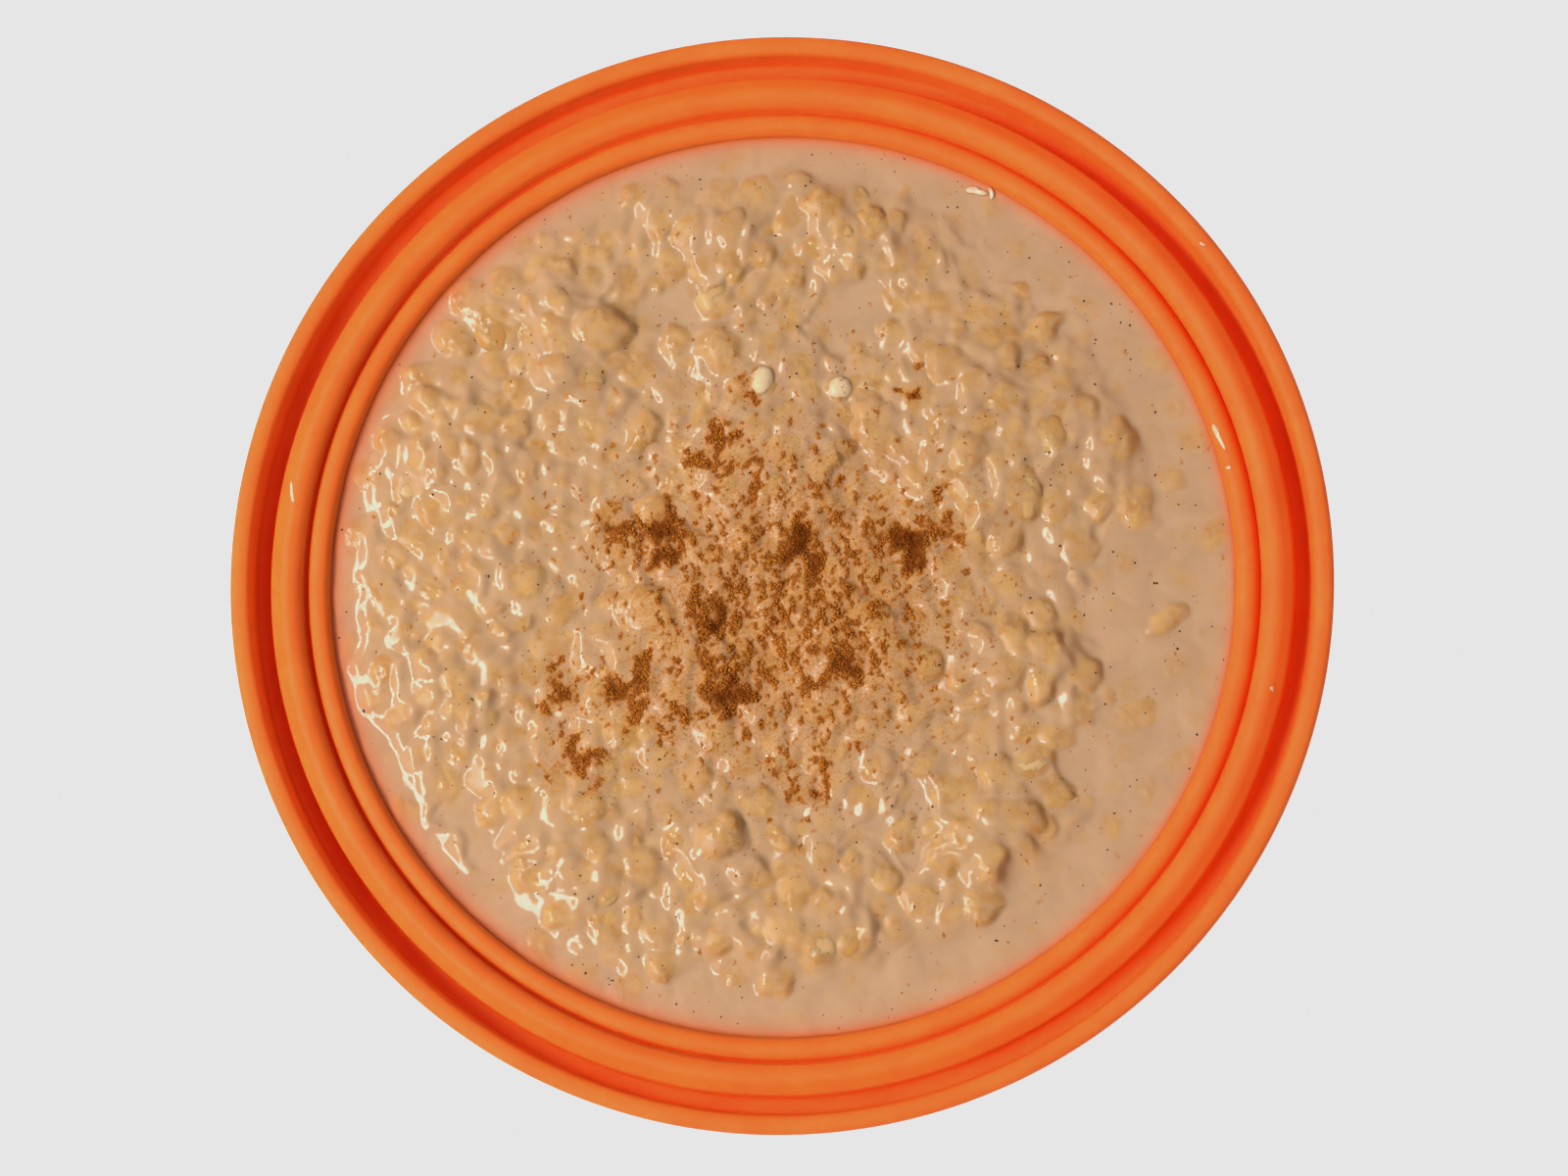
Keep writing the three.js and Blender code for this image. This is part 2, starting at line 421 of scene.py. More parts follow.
def milk_faces():
    """Triangles between the rings of milk_grid, seen from above as counter-clockwise."""
    faces = []
    inner_first = 0
    for ring in range(1, MILK_RINGS + 1):
        outer_first = inner_first + max(1, 6 * (ring - 1))
        outer_count, inner_count = 6 * ring, max(1, 6 * (ring - 1))
        for sector in range(6):
            for step in range(ring):
                a = outer_first + (sector * ring + step) % outer_count
                b = outer_first + (sector * ring + step + 1) % outer_count
                c = inner_first + (sector * (ring - 1) + step) % inner_count
                faces.append((a, b, c))
                if step < ring - 1:
                    d = inner_first + (sector * (ring - 1) + step + 1) % inner_count
                    faces.append((c, b, d))
        inner_first = outer_first
    return faces


class Bed:
    """The level that the rice lies in: milk, the raised mass of rice, its heaps and its pools."""

    MASS_RISE = 0.58 * MM
    EDGE_REACH = 66.2 * MM
    EDGE_OFFSET = 4.2 * MM
    EDGE_BEARING = math.radians(165)
    EDGE_WANDER = 0.7 * MM
    EDGE_SWAY = 0.5 * MM
    EDGE_HALF_WIDTH = 1.5 * MM
    HEAP_MARGIN = 7 * MM
    SWELL = 0.2 * MM
    WALL_RISE = 0.45 * MM
    WALL_REACH = 1.3 * MM

    def __init__(self, rng):
        self.wander = Ripples(rng, 22 * MM)
        self.sway = Ripples(rng, 7 * MM)
        self.bends = [(Ripples(rng, size), Ripples(rng, size)) for size in (13 * MM, 5 * MM)]

    def bent(self, x, y, far, near):
        """The place shifted at random, by about far in wide swings and near in small ones."""
        for (bend_x, bend_y), amount in zip(self.bends, (far, near)):
            x, y = x + amount * bend_x.at(x, y), y + amount * bend_y.at(x, y)
        return x, y

    def inside(self, x, y):
        """How far a place is inside the edge of the mass, which is nearer on the +X side."""
        bearing = np.arctan2(y, x)
        edge = self.EDGE_REACH + self.EDGE_OFFSET * np.cos(bearing - self.EDGE_BEARING)
        wall_x, wall_y = PUDDING_RADIUS * np.cos(bearing), PUDDING_RADIUS * np.sin(bearing)
        edge += self.EDGE_WANDER * self.wander.at(wall_x, wall_y)
        edge += self.EDGE_SWAY * self.sway.at(wall_x, wall_y)
        return edge - np.hypot(x, y)

    def heaps(self, x, y):
        """How high the heaps stand."""
        x, y = self.bent(x, y, 1.4 * MM, 0.5 * MM)
        height = np.zeros_like(x)
        for bearing, share, breadth, rise in HEAPS:
            middle_x, middle_y = polar(bearing, share * PUDDING_RADIUS)
            spread = ((x - middle_x) ** 2 + (y - middle_y) ** 2) / (breadth * MM) ** 2
            height += rise * MM * np.exp(-(spread**2))
        return height

    def pools(self, x, y):
        """1 in the middle of a pool of milk and 0 outside it."""
        x, y = self.bent(x, y, 1.6 * MM, 0.7 * MM)
        found = np.zeros_like(x)
        for bearing, share, breadth, other, turn in POOLS:
            middle_x, middle_y = polar(bearing, share * PUDDING_RADIUS)
            along, across = turned(x - middle_x, y - middle_y, math.radians(turn))
            spread = np.hypot(along / (breadth * MM), across / (other * MM))
            found = np.maximum(found, 1 - smoothstep(spread, 0.6, 1.25))
        return found

    def mass(self, x, y):
        """1 over the mass of rice, and 0 over its pools and the margin of milk round it."""
        margin = smoothstep(self.inside(x, y), -self.EDGE_HALF_WIDTH, self.EDGE_HALF_WIDTH)
        return margin * (1 - self.pools(x, y))

    def level(self, x, y):
        """The height of the milk's surface, before the grains raise it."""
        mass = self.mass(x, y)
        inland = smoothstep(self.inside(x, y), 0, self.HEAP_MARGIN) * mass
        raised = (self.SWELL * self.wander.at(x, y) + self.heaps(x, y)) * inland
        at_wall = self.WALL_RISE * np.exp((np.hypot(x, y) - PUDDING_RADIUS) / self.WALL_REACH)
        return MILK_LEVEL + self.MASS_RISE * mass + raised + at_wall


def lone_grains(bed):
    """The grains of LONE_GRAINS. The palest stand bare, and the others wear a coat of milk."""
    grains = []
    for bearing, share, length, width, turn, showing, pale in LONE_GRAINS:
        x, y = polar(bearing, share * PUDDING_RADIUS)
        level = float(bed.level(np.array([x]), np.array([y]))[0])
        tall = 0.42 * width * MM
        grain = Grain(
            x,
            y,
            z=level + 0.85 * showing * MM - tall,
            long=0.5 * length * MM,
            wide=0.5 * width * MM,
            tall=tall,
            turn=math.radians(turn),
            tilt=0.05,
            coat=-0.25 * MM if pale == 1 else 0.2 * MM,
            tone=0.6,
            pale=pale,
        )
        grains.append(grain)
    return grains


# Whole grains are laid first, then broken ones that fill the gaps. Sizes are shares of a whole
# grain's, as the least and the spread. Room in millimetres is for no size, then for each size.
GRAIN_TRIES = 14000
WHOLE_SHARE = 0.55
WHOLE_SIZE, WHOLE_ROOM = (0.66, 0.5), (2.3, 3.1)
BROKEN_SIZE, BROKEN_ROOM = (0.42, 0.25), (1.5, 2.6)
HALF_LONG, HALF_WIDE, HALF_TALL = 3.9 * MM, 2.9 * MM, 1.9 * MM
LONE_CLEARANCE = 1.1
GRAIN_MARGIN = 2.2 * MM
SHARE_IN_MILK = 0.12
SUNK_IN_MILK = 0.75 * MM
HIGH_HEAP = 3 * MM


def draw_grains(rng, bed):
    """Grains drawn at random all over, the room that each takes, and which of them are wanted."""
    draws = rng.uniform(size=(GRAIN_TRIES, 11)).T
    at_x, at_y, chance, size, length, width, showing, coat, turn, tilt, tone = draws
    reach = PUDDING_RADIUS - GRAIN_MARGIN
    x, y = reach * (2 * at_x - 1), reach * (2 * at_y - 1)

    broken = np.arange(GRAIN_TRIES) > WHOLE_SHARE * GRAIN_TRIES
    least, spread = np.where(broken[:, None], BROKEN_SIZE, WHOLE_SIZE).T
    size = least + spread * size
    room_least, room_more = np.where(broken[:, None], BROKEN_ROOM, WHOLE_ROOM).T
    rooms = (room_least + room_more * size) * MM

    mass = bed.mass(x, y)
    lift = np.clip(bed.heaps(x, y) / HIGH_HEAP, 0, 1) * mass
    showing = (0.05 + 0.65 * showing + 0.3 * lift) * MM * size - SUNK_IN_MILK * (1 - mass)
    tall = HALF_TALL * size
    drawn = Grain(
        x,
        y,
        z=bed.level(x, y) + showing - tall,
        long=HALF_LONG * size * (0.85 + 0.4 * length),
        wide=HALF_WIDE * size * (0.85 + 0.35 * width),
        tall=tall,
        turn=math.pi * turn,
        tilt=0.35 * (tilt - 0.5),
        coat=(0.42 * coat - 0.03) * MM,
        tone=tone,
        pale=0.5 * tone**3,
    )
    inner = smoothstep(bed.inside(x, y), 2.6 * MM, 4.6 * MM) * mass
    wanted = chance <= SHARE_IN_MILK + (1 - SHARE_IN_MILK) * inner
    return np.column_stack(drawn), rooms, wanted & (np.hypot(x, y) < reach)


def scatter_grains(rng, bed):
    """The grains at the surface, close together in the mass and few and sunk in the milk."""
    grains = lone_grains(bed)
    places = np.array([(grain.x, grain.y) for grain in grains])
    clearance = np.array([LONE_CLEARANCE * (grain.long + grain.wide) for grain in grains])
    drawn, rooms, wanted = draw_grains(rng, bed)
    for values, room in zip(drawn[wanted], rooms[wanted]):
        grain = Grain(*values)
        gaps = np.hypot(places[:, 0] - grain.x, places[:, 1] - grain.y)
        if (gaps >= 0.5 * (room + clearance)).all():
            grains.append(grain)
            places = np.vstack([places, (grain.x, grain.y)])
            clearance = np.append(clearance, room)
    return grains


def near_grain(grain, x, y, beyond):
    """Which points are near the grain, how far out in it they lie, and where along it."""
    near = np.flatnonzero(np.hypot(x - grain.x, y - grain.y) < grain.long + beyond)
    along, across = turned(x[near] - grain.x, y[near] - grain.y, grain.turn)
    return near, np.hypot(along / grain.long, across / grain.wide), along


# The milk climbs the grains by the first of these where it is dry, and by both where it is wet.
MENISCUS_RISE, WET_RISE = 0.2 * MM, 0.38 * MM
MENISCUS_START = 0.9
MENISCUS_REACH = 1.5 * MM
RELIEF = 0.16 * MM
COAT_BLEND = 0.6 * MM
CREASE_DEPTH = 0.07 * MM
HINT_OF_RICE = 0.25


def milk_heights(rng, bed, grains, x, y):
    """The milk's surface, and at each point how much of the rice shows and how wrinkled it is."""
    height = bed.level(x, y)
    bent_x, bent_y = bed.bent(x, y, 0, 0.25 * MM)
    mass = bed.mass(x, y)

    climb = np.zeros_like(x)
    for grain in grains:
        near, out, _ = near_grain(grain, bent_x, bent_y, 2 * MENISCUS_REACH)
        distance = np.maximum(out - MENISCUS_START, 0) * grain.wide
        climb[near] += np.clip(1 - distance / MENISCUS_REACH, 0, 1) ** 4
    wet = smoothstep(Ripples(rng, 11 * MM).at(x, y), -1.2, 1.2)
    height += (MENISCUS_RISE + WET_RISE * wet) * climb**0.25 * (0.35 + 0.65 * mass)
    inland = smoothstep(bed.inside(x, y), 1.5 * MM, 4.5 * MM) * mass
    height += RELIEF * Ripples(rng, 4.2 * MM).at(x, y) * inland

    top_of_rice = np.full_like(x, -1.0)
    for grain in grains:
        near, out, along = near_grain(grain, bent_x, bent_y, 2 * MM)
        dome = np.sqrt(np.maximum(1 - out**3, 0)) - 1.5 * np.maximum(out - 1, 0)
        top = grain.z + grain.tall * dome + along * math.sin(grain.tilt)
        height[near] = smooth_max(height[near], top + grain.coat, COAT_BLEND)
        top_of_rice[near] = np.maximum(top_of_rice[near], top)
    shown = 1 - smoothstep(height - top_of_rice, 0.05 * MM, 1.0 * MM)

    wrinkled = smoothstep(Ripples(rng, 6 * MM).at(x, y), 0.1, 1.0) * shown
    shown = 1 - (1 - shown) * (1 - HINT_OF_RICE * mass)
    height += CREASE_DEPTH * wrinkled * Ripples(rng, 1.5 * MM, waves=40).at(x, y)
    return height, shown, wrinkled


def milk_side(vertex_count):
    """What closes the milk below, down the wall to the floor's middle, after so many vertices."""
    count = 6 * MILK_RINGS
    above, total = vertex_count - count, vertex_count
    angles = np.arange(count) * FULL_TURN / count
    side = inner_wall(INTO_WALL, steps=SIDE_STEPS, top_drop=MILK_DROP)[1:]
    vertices, faces = [], []
    for across, z in side[:-1]:
        ring = np.column_stack([across * np.cos(angles), across * np.sin(angles)])
        vertices.append(np.column_stack([ring, np.full(count, z)]))
        for j in range(count):
            following = (j + 1) % count
            faces.append((above + j, total + j, total + following, above + following))
        above, total = total, total + count
    vertices.append([(0, 0, side[-1, 1])])
    faces.extend((above + j, total, above + (j + 1) % count) for j in range(count))
    return np.vstack(vertices), faces


# The orange along the milk's edge at the wall: partly the thin film there that the plastic's colour
# shows through, partly painted glow of orange light bounced from and passing through the plastic.
# It is broadest at one bearing, on the window's side.
FILM_AND_GLOW_BREADTH = 1.2 * MM
FILM_AND_GLOW_OFFSET = 0.5 * MM
FILM_AND_GLOW_BEARING = math.radians(185)


def make_milk(bed, grains):
    """The milk's uneven top, closed below. The attributes are 0 on the part out of sight."""
    x, y = milk_grid(PUDDING_RADIUS + INTO_WALL).T
    height, shown, wrinkled = milk_heights(seeded(21), bed, grains, x, y)
    side_vertices, side_faces = milk_side(len(x))
    vertices = np.vstack([np.column_stack([x, y, height]), side_vertices])
    faces = milk_faces() + side_faces
    piece = make_piece("pudding_milk", vertices, faces, milk_material(), "pudding", ("pudding",))

    # Painted orange glow of light from the plastic together with the thin film of milk, reaching
    # furthest toward the window.
    film_and_glow_breadth = FILM_AND_GLOW_BREADTH + FILM_AND_GLOW_OFFSET * np.cos(np.arctan2(y, x) - FILM_AND_GLOW_BEARING)
    film_and_painted_glow = np.minimum(np.exp((np.hypot(x, y) - PUDDING_RADIUS) / film_and_glow_breadth), 1)
    values = {"grain": shown, "wrinkled": wrinkled, "dust": stain_at(x, y), "wall": film_and_painted_glow}
    for name, on_top in values.items():
        add_attribute(piece, name, np.pad(on_top, (0, len(side_vertices))))
    return piece


# ---------------------------------------------------------------- the cinnamon

# Where it lies thickest: bearing from +X in degrees, distance from the centre as a share of
# the pudding's radius, breadth in millimetres and thickness, which is about 1 at the most.
BLOTCHES = (
    (113, 0.33, 3.2, 0.8),
    (124, 0.31, 2.4, 0.8),
    (104, 0.23, 2.4, 0.75),
    (60, 0.25, 2.4, 0.6),
    (163, 0.38, 3.2, 0.85),
    (160, 0.28, 4.0, 1.0),
    (60, 0.08, 3.4, 1.15),
    (17, 0.28, 4.0, 1.1),
    (19, 0.38, 2.8, 0.8),
    (206, 0.16, 4.0, 0.95),
    (230, 0.23, 3.2, 0.8),
    (245, 0.27, 3.6, 1.0),
    (333, 0.11, 2.8, 0.8),
    (270, 0.10, 2.4, 0.8),
    (308, 0.23, 3.8, 0.95),
    (321, 0.18, 2.4, 0.7),
    (215, 0.40, 3.6, 0.9),
    (206, 0.54, 3.0, 0.9),
    (232, 0.37, 2.8, 0.75),
    (221, 0.59, 3.4, 0.85),
    (269, 0.42, 2.2, 0.75),
    (282, 0.42, 2.2, 0.7),
    (278, 0.47, 2.4, 0.65),
    (102, 0.44, 1.8, 0.7),
    (57, 0.51, 1.4, 1.0),
)
BLOTCH_SPREAD = 1.35

# The thinner dust all round them.
DUST_MIDDLE = (1.5 * MM, -4 * MM)
DUST_REACH = 29 * MM
DUST_THICKNESS = 0.54
DUST_FALL = 2.6

# Random fields that bend the dust's outline and break it into clumps.
SHIFT_REACH = 1.3 * MM
SHIFTS = [Ripples(seeded(seed), 6 * MM) for seed in (32, 33)]
CLUMPS = [Ripples(seeded(31), size) for size in (4.5 * MM, 1.9 * MM, 0.9 * MM)]
CLUMP_WEIGHTS = (0.13, 0.17, 0.13)


def dust_at(x, y):
    """How thick the cinnamon lies, 0 to about 1, before it is broken into clumps."""
    shift_x, shift_y = (SHIFT_REACH * shift.at(x, y) for shift in SHIFTS)
    x, y = x + shift_x, y + shift_y
    around = np.hypot(x - DUST_MIDDLE[0], y - DUST_MIDDLE[1]) / DUST_REACH
    thick = DUST_THICKNESS * np.exp(-(around**DUST_FALL))
    for bearing, share, breadth, strength in BLOTCHES:
        middle_x, middle_y = polar(bearing, share * PUDDING_RADIUS)
        spread = (x - middle_x) ** 2 + (y - middle_y) ** 2
        spread /= (BLOTCH_SPREAD * breadth * MM) ** 2
        thick = np.maximum(thick, strength * np.exp(-spread))
    return thick


def powder_at(x, y):
    """How much powder lies at a place: the dust broken into ragged clumps."""
    broken = sum(weight * clumps.at(x, y) for weight, clumps in zip(CLUMP_WEIGHTS, CLUMPS))
    return smoothstep(dust_at(x, y) + broken, 0.38, 0.95)


def stain_at(x, y):
    """How far the milk under the powder is coloured by it."""
    return np.clip(0.9 * powder_at(x, y) + 0.8 * dust_at(x, y), 0, 1)


# Bits of powder: an uneven pyramid on three corners.
BIT_CORNERS = np.array([(1, 0, -0.3), (-0.5, 0.87, -0.3), (-0.5, -0.87, -0.3), (0, 0, 0.5)])
BIT_FACES = ((0, 1, 3), (1, 2, 3), (2, 0, 3), (0, 2, 1))

# How many bits are tried or laid, and where.
POWDER_TRIES = 230000
POWDER_REACH = 0.66 * PUDDING_RADIUS
SPECKS = 700
SPECK_MARGIN = 0.8 * MM


class Ground:
    """The surface that powder lies on, found by looking straight down at some pieces."""

    def __init__(self, *pieces):
        self.trees = []
        for piece in pieces:
            corners = [vertex.co for vertex in piece.data.vertices]
            polygons = [polygon.vertices for polygon in piece.data.polygons]
            self.trees.append(BVHTree.FromPolygons(corners, polygons))

    def hit(self, x, y):
        """The highest point at (x, y)."""
        start, down = Vector((x, y, 2 * RIM_TOP)), Vector((0, 0, -1))
        hits = [tree.ray_cast(start, down)[0] for tree in self.trees]
        return max((hit for hit in hits if hit), key=lambda hit: hit.z)


def make_bits(name, rng, ground, places, sizes, lifts, material):
    """A piece of many loose bits, each lying at its place and lifted a little."""
    corners = BIT_CORNERS * rng.uniform(0.65, 1.3, (len(places), len(BIT_CORNERS), 1))
    corners = corners + rng.uniform(-0.25, 0.25, corners.shape)
    turns = rng.uniform(0, FULL_TURN, (len(places), 1))
    cosines, sines = np.cos(turns), np.sin(turns)
    swung = corners.copy()
    swung[..., 0] = corners[..., 0] * cosines - corners[..., 1] * sines
    swung[..., 1] = corners[..., 0] * sines + corners[..., 1] * cosines
    swung *= (0.5 * sizes)[:, None, None]
    middles = [(x, y, ground.hit(x, y).z + lift) for (x, y), lift in zip(places, lifts)]
    vertices = (swung + np.array(middles)[:, None, :]).reshape(-1, 3)
    size = len(BIT_CORNERS)
    faces = [tuple(size * k + i for i in face) for k in range(len(places)) for face in BIT_FACES]
    return make_piece(name, vertices, faces, material, "pudding")


def scattered(rng, count, reach):
    """Places at random over a disc."""
    out = reach * np.sqrt(rng.uniform(size=count))
    angles = rng.uniform(0, FULL_TURN, count)
    return np.column_stack([out * np.cos(angles), out * np.sin(angles)])


def make_cinnamon(rng, ground):
    """Powder in ragged clumps, with single bits strewn round them."""
    places = scattered(rng, POWDER_TRIES, POWDER_REACH)
    powder = powder_at(*places.T)
    strewn = 0.2 * dust_at(*places.T) + 0.002
    kept = rng.uniform(size=len(places)) < 0.85 * powder**0.9 + strewn
    places, powder = places[kept], powder[kept]
    sizes = MM * (0.22 + 0.34 * rng.uniform(size=len(places)) ** 2 * (0.3 + 0.7 * powder))
    lifts = MM * (0.03 + 0.5 * powder**1.5 * rng.uniform(size=len(places)))
    piece = make_bits("cinnamon", rng, ground, places, sizes, lifts, cinnamon_material())
    core = smoothstep(dust_at(*places.T), 0.66, 1.0)
    tones = (0.3 + 0.7 * rng.uniform(size=len(places))) * (1 - core)
    add_attribute(piece, "tone", np.repeat(tones, len(BIT_CORNERS)))


def make_specks(rng, ground):
    """Dark bits of spice all over the milk."""
    places = scattered(rng, SPECKS, PUDDING_RADIUS - SPECK_MARGIN)
    sizes = MM * (0.3 + 0.32 * rng.uniform(size=len(places)) ** 2)
    lifts = np.full(len(places), 0.05 * MM)
    make_bits("spice_specks", rng, ground, places, sizes, lifts, speck_material())


# ---------------------------------------------------------------- smears on the rim

# Drops of milk left on the bowl: bearing from +X in degrees, distance from the centre, length,
# width and thickness in millimetres, and the turn of the length away from the rim's own run.
SMEARS = (
    (63.5, 72.6, 3.6, 1.6, 0.7, 20),
    (61.5, 73.4, 1.8, 1.1, 0.6, -50),
    (18.0, 75.4, 4.2, 1.0, 0.22, 8),
    (13.8, 75.6, 0.9, 0.8, 0.4, 0),
    (169.5, 81.6, 3.4, 0.8, 0.12, 20),
    (347.0, 82.0, 1.0, 0.8, 0.2, 0),
    (38.0, 88.0, 1.0, 0.6, 0.15, 30),
)

# A smear's rings and the points of one, and how far its edge and its base lie under the surface.
SMEAR_RINGS = 4
SMEAR_POINTS = 20
SMEAR_EDGE_DEPTH = 0.1 * MM
SMEAR_BASE_DEPTH = 0.2 * MM


def make_smears(rng, ground):
    """Each smear is a low dome that follows the surface under it, closed a little below that."""
    angles = np.arange(SMEAR_POINTS) * FULL_TURN / SMEAR_POINTS
    vertices, faces = [], []
    for bearing, reach, length, width, thick, turn in SMEARS:
        middle_x, middle_y = polar(bearing, reach * MM)
        run = math.radians(bearing + 90 + turn)
        wobble = 1 + 0.25 * np.sin(2 * angles + rng.uniform(0, FULL_TURN))
        wobble += 0.15 * np.sin(3 * angles + rng.uniform(0, FULL_TURN))
        first = len(vertices)
        for ring in range(SMEAR_RINGS, 0, -1):
            share = ring / SMEAR_RINGS
            along = 0.5 * length * MM * share * wobble * np.cos(angles)
            across = 0.5 * width * MM * share * wobble * np.sin(angles)
            x, y = turned(along, across, -run)
            rise = thick * MM * math.sqrt(1 - share**2)
            if ring == SMEAR_RINGS:
                rise -= SMEAR_EDGE_DEPTH
            for place_x, place_y in zip(middle_x + x, middle_y + y):
                vertices.append((place_x, place_y, ground.hit(place_x, place_y).z + rise))
        below = ground.hit(middle_x, middle_y).z
        vertices.append((middle_x, middle_y, below + thick * MM))
        vertices.append((middle_x, middle_y, below - SMEAR_BASE_DEPTH))
        top, bottom = len(vertices) - 2, len(vertices) - 1
        last = first + (SMEAR_RINGS - 1) * SMEAR_POINTS
        for j in range(SMEAR_POINTS):
            following = (j + 1) % SMEAR_POINTS
            for low in range(first, last, SMEAR_POINTS):
                high = low + SMEAR_POINTS
                faces.append((low + j, low + following, high + following, high + j))
            faces.append((last + j, last + following, top))
            faces.append((first + following, first + j, bottom))
    make_piece("rim_smears", vertices, faces, smear_material(), "pudding")


# ---------------------------------------------------------------- materials of the food


def stained(shader, colour):
    """The colour with the cinnamon's brown soaked into it, and how far the brown covers it."""
    dust = shader.attribute("dust")
    grit = shader.noise(0.4 * MM, detail=2, roughness=0.6)
    amount = shader.math("MULTIPLY_ADD", grit, 1.9, dust)
    cover = shader.math("MULTIPLY", shader.remap(amount, 0.95, 1.8), shader.remap(dust, 0, 0.3))
    brown = shader.mix(shader.remap(dust, 0.4, 1), srgb(188, 122, 50), srgb(130, 64, 12))
    return shader.mix(cover, colour, brown), cover


def wet_food(shader, clean, gloss, normal):
    """A wet, milky material with this clean colour, dull and brown where cinnamon covers it."""
    colour, cover = stained(shader, clean)
    shader.set(
        Base_Color=colour,
        Roughness=shader.remap(cover, 0, 1, gloss, 0.85),
        IOR=1.29,
        Subsurface_Weight=shader.remap(cover, 0, 1, 0.8, 0.1),
        Subsurface_Radius=(1.0, 0.75, 0.5),
        Subsurface_Scale=1.3 * MM,
        Normal=normal,
    )
    return shader.material


def milk_material():
    shader = Shader("sweet_milk")
    cloud = shader.noise(7 * MM, detail=3, distortion=0.4)
    milk = shader.mix(shader.remap(cloud, 0.3, 0.7), srgb(193, 157, 123), srgb(202, 165, 130))
    warm = shader.noise(3.5 * MM, detail=2)
    rice = shader.mix(shader.remap(warm, 0.35, 0.65), srgb(206, 161, 99), srgb(192, 142, 80))
    patchy = shader.noise(1.6 * MM, detail=3)
    clear = shader.remap(patchy, 0.32, 0.6, 0.45, 0.95)
    shown = shader.math("MULTIPLY", shader.attribute("grain"), clear)
    wet = shader.mix(shown, milk, rice)
    # By the wall: painted orange glow of light from the plastic, mixed with the real thin film of
    # milk over it.
    film_and_painted_glow = shader.mix(shader.attribute("wall"), wet, srgb(222, 104, 50))
    wrinkle = shader.noise(0.7 * MM, detail=2, roughness=0.5)
    uneven = shader.math("MULTIPLY", wrinkle, shader.attribute("wrinkled"))
    skin = shader.math("SUBTRACT", shader.attribute("grain"), shader.attribute("wrinkled"))
    gloss = shader.remap(skin, 0.5, 0.95, 0.06, 0.38)
    return wet_food(shader, film_and_painted_glow, gloss, shader.bump(uneven, 0.14 * MM))


def rice_material():
    shader = Shader("swollen_rice")
    deep = shader.mix(shader.attribute("tone"), srgb(198, 145, 82), srgb(212, 167, 104))
    rice = shader.mix(shader.attribute("pale"), deep, srgb(226, 198, 160))
    under_milk = shader.mix(shader.attribute("above"), srgb(200, 156, 112), rice)
    wrinkle = shader.noise(0.8 * MM, detail=4, roughness=0.65)
    return wet_food(shader, under_milk, 0.3, shader.bump(wrinkle, 0.03 * MM))


def smear_material():
    shader = Shader("dried_milk")
    cloud = shader.noise(1.2 * MM, detail=3)
    share = shader.remap(cloud, 0.35, 0.65)
    shader.set(
        Base_Color=shader.mix(share, srgb(232, 180, 136), srgb(240, 212, 184)),
        Roughness=0.4,
        Normal=shader.bump(cloud, 0.1 * MM),
    )
    return shader.material


def cinnamon_material():
    shader = Shader("ground_cinnamon")
    uneven = shader.noise(1.5 * MM, detail=2)
    deep = shader.mix(shader.remap(uneven, 0.35, 0.65), srgb(146, 74, 10), srgb(178, 96, 20))
    shader.set(
        Base_Color=shader.mix(shader.attribute("tone"), deep, srgb(238, 154, 54)),
        Roughness=0.95,
        Specular_IOR_Level=0.15,
    )
    return shader.material


def speck_material():
    shader = Shader("dark_spice")
    uneven = shader.noise(3 * MM, detail=2)
    share = shader.remap(uneven, 0.4, 0.6)
    shader.set(
        Base_Color=shader.mix(share, srgb(26, 12, 4), srgb(78, 40, 16)),
        Roughness=0.8,
        Specular_IOR_Level=0.1,
    )
    return shader.material


# ---------------------------------------------------------------- the grains


def unit_ball(around, down):
    """Vertices and faces of a ball of radius 1, with its poles on the X axis."""
    rows = [np.array([[1.0, 0.0, 0.0]])]
    turns = np.arange(around) * FULL_TURN / around
    for step in range(1, down):
        angle = math.pi * step / down
        circle = math.sin(angle) * np.column_stack([np.cos(turns), np.sin(turns)])
        rows.append(np.column_stack([np.full(around, math.cos(angle)), circle]))
    rows.append(np.array([[-1.0, 0.0, 0.0]]))
    faces = []
    for j in range(around):
        following = (j + 1) % around
        faces.append((0, 1 + j, 1 + following))
        for step in range(down - 2):
            a, b = 1 + step * around, 1 + (step + 1) * around
            faces.append((a + j, b + j, b + following, a + following))
        base = 1 + (down - 2) * around
        faces.append((base + j, base + around, base + following))
    return np.vstack(rows), faces


# Grains with a thinner coat than this are meshes of their own, and the milk hides the rest.
THIN_COAT = 0.06 * MM

# A grain's own shape: how blunt one end can be, how bent it can be, and how lumpy its skin is.
BALL_AROUND, BALL_DOWN = 16, 12
BLUNTNESS = 0.12
BEND = 0.15
LUMP_SIZE, LUMP_HEIGHT = 3.4 * MM, 0.045
CRAG_SIZE, CRAG_HEIGHT = 1.4 * MM, 0.022
SKIN_SPACING = 20 * MM


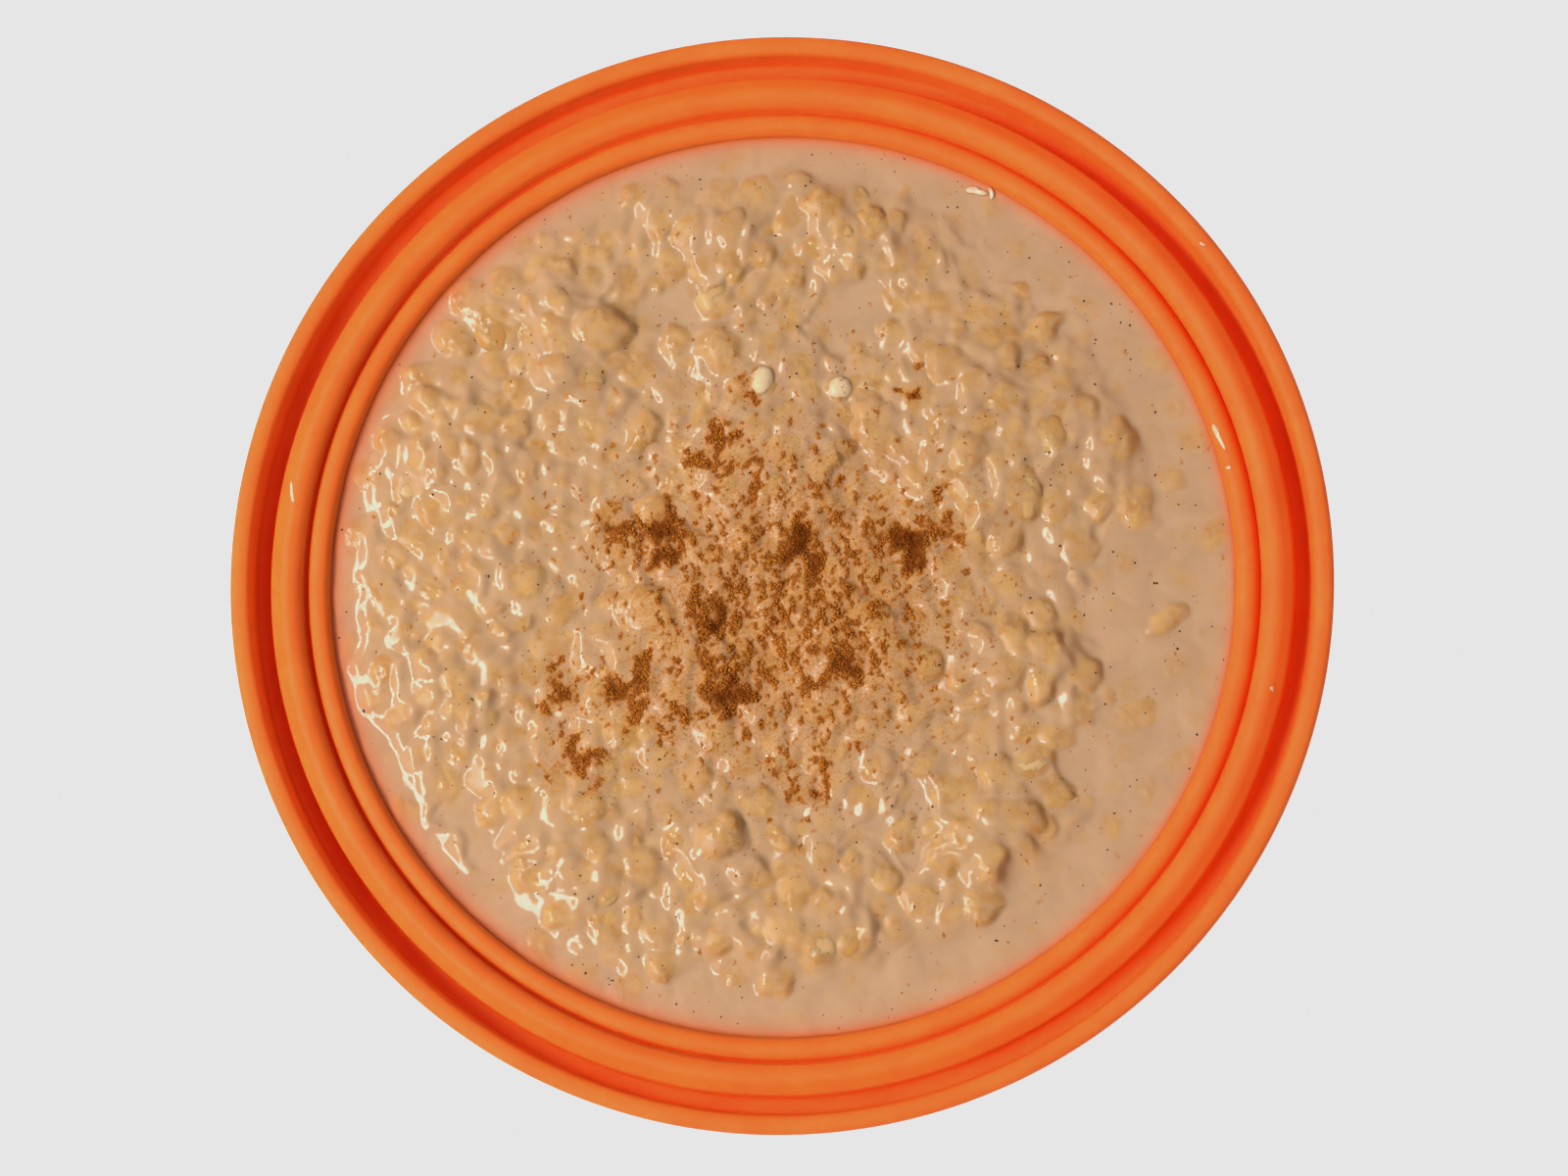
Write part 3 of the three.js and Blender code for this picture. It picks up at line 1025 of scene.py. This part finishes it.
def make_rice(rng, grains, bed):
    ball, ball_faces = unit_ball(BALL_AROUND, BALL_DOWN)
    lumps = Ripples(rng, LUMP_SIZE, dimensions=3)
    crags = Ripples(rng, CRAG_SIZE, dimensions=3)
    vertices, faces = [], []
    for number, grain in enumerate(grains):
        shape = ball.copy()
        shape[:, 1:] *= 1 + BLUNTNESS * rng.uniform(-1, 1) * shape[:, :1]
        shape[:, 1] += rng.uniform(-BEND, BEND) * (shape[:, 0] ** 2 - 0.5)
        across = np.hypot(shape[:, 0], shape[:, 1])
        shape[:, 2] *= np.sqrt((1 + across + across**2) / (1 + across))
        solid = shape * (grain.long, grain.wide, grain.tall)
        on_skin = (solid + (SKIN_SPACING * number, 0, 0)).T
        swell = 1 + LUMP_HEIGHT * lumps.at(*on_skin) + CRAG_HEIGHT * crags.at(*on_skin)
        turn = Matrix.Rotation(grain.turn, 3, "Z") @ Matrix.Rotation(-grain.tilt, 3, "Y")
        solid = (solid * swell[:, None]) @ np.array(turn).T + (grain.x, grain.y, grain.z)
        first = len(ball) * number
        vertices.append(solid)
        faces.extend(tuple(first + index for index in face) for face in ball_faces)
    vertices = np.vstack(vertices)
    x, y, z = vertices.T
    piece = make_piece("rice_grains", vertices, faces, rice_material(), "pudding", ("pudding",))
    add_attribute(piece, "above", smoothstep(z - bed.level(x, y), -0.4 * MM, 0.8 * MM))
    add_attribute(piece, "dust", stain_at(x, y))
    add_attribute(piece, "tone", np.repeat([grain.tone for grain in grains], len(ball)))
    add_attribute(piece, "pale", np.repeat([grain.pale for grain in grains], len(ball)))
    return piece


# ---------------------------------------------------------------- stage, light and camera

FLOOR_HALF = 4.0


def make_floor():
    """A floor that glows a little, so that it looks evenly pale."""
    mesh = bpy.data.meshes.new("floor")
    corners = [(FLOOR_HALF * x, FLOOR_HALF * y, 0) for x, y in ((-1, -1), (1, -1), (1, 1), (-1, 1))]
    mesh.from_pydata(corners, [], [(0, 1, 2, 3)])
    shader = Shader("pale_floor")
    shader.set(
        Base_Color=srgb(150, 150, 149),
        Roughness=1.0,
        Specular_IOR_Level=0.0,
        Emission_Color=(1, 1, 1, 1),
        Emission_Strength=0.8,
    )
    mesh.materials.append(shader.material)
    floor = add_object("floor", mesh)


def add_area_light(name, power, size, bearing, elevation, distance, colour):
    """A rectangular lamp turned to the middle of the bowl's mouth."""
    light = bpy.data.lights.new(name, "AREA")
    light.energy = power
    light.shape = "RECTANGLE"
    light.size, light.size_y = size
    light.color = colour
    lamp = add_object(name, light)
    around, up = math.radians(bearing), math.radians(elevation)
    away = Vector((math.cos(around) * math.cos(up), math.sin(around) * math.cos(up), math.sin(up)))
    lamp.location = Vector((0, 0, RIM_TOP)) + distance * away
    lamp.rotation_euler = away.to_track_quat("Z", "Y").to_euler()


def light_scene():
    """A wide window on the left, a large weak reflector across from it, and a dim room."""
    daylight = (1, 0.98, 0.95)
    world = bpy.data.worlds.new("studio")
    world.use_nodes = True
    background = world.node_tree.nodes["Background"]
    background.inputs["Color"].default_value = (*daylight, 1)
    background.inputs["Strength"].default_value = 0.16
    bpy.context.scene.world = world
    add_area_light(
        "window",
        power=11.2,
        size=(0.8, 0.2),
        bearing=193,
        elevation=54,
        distance=0.95,
        colour=daylight,
    )
    add_area_light(
        "reflector",
        power=2.1,
        size=(1.0, 1.0),
        bearing=15,
        elevation=52,
        distance=1.2,
        colour=(1, 0.96, 0.9),
    )


def set_tones():
    """The display's tones as they are, up to a paper white, where they stop."""
    paper_white = 0.791
    all_channels = 3
    view = bpy.context.scene.view_settings
    view.view_transform = "Standard"
    view.use_curve_mapping = True
    curves = view.curve_mapping
    curves.extend = "HORIZONTAL"
    combined = curves.curves[all_channels]
    combined.points[-1].location = (1, paper_white)
    combined.points.new(paper_white, paper_white)
    for point in combined.points:
        point.handle_type = "VECTOR"
    curves.update()


CAMERA_HEIGHT = 0.7015
CAMERA_LEAN = (0.06, -0.12)


def add_camera():
    """Above the bowl and a little to its front right, turned to the middle of its rim."""
    camera = bpy.data.cameras.new("camera")
    camera.lens = 100
    camera.sensor_width = 36
    camera.clip_start = 0.01
    camera.shift_x = 0.004
    camera.shift_y = -0.007
    holder = add_object("camera", camera)
    away = CAMERA_HEIGHT * Vector((*CAMERA_LEAN, 1))
    back = away.normalized()
    right = Vector((0, 1, 0)).cross(back).normalized()
    up = back.cross(right)
    facing = Matrix((right, up, back)).transposed().to_4x4()
    holder.matrix_world = Matrix.Translation(Vector((0, 0, RIM_TOP)) + away) @ facing
    bpy.context.scene.camera = holder


# ---------------------------------------------------------------- putting it together

set_tones()

profile = np.vstack([underside(), rim_outline(), inner_wall(0)[1:]])
shell = lathe(profile, BOWL_SEGMENTS)
bowl_piece = make_piece("bowl_shell", *shell, plastic(), "bowl_plastic", ("bowl",))

pudding_bed = Bed(seeded(3))
rice = scatter_grains(seeded(5), pudding_bed)
milk_piece = make_milk(pudding_bed, rice)
bare_rice = [grain for grain in rice if grain.coat < THIN_COAT]
rice_piece = make_rice(seeded(8), bare_rice, pudding_bed)

surface = Ground(milk_piece, rice_piece)
make_cinnamon(seeded(13), surface)
make_specks(seeded(17), surface)
make_smears(seeded(19), Ground(bowl_piece, milk_piece))

make_floor()
light_scene()
add_camera()
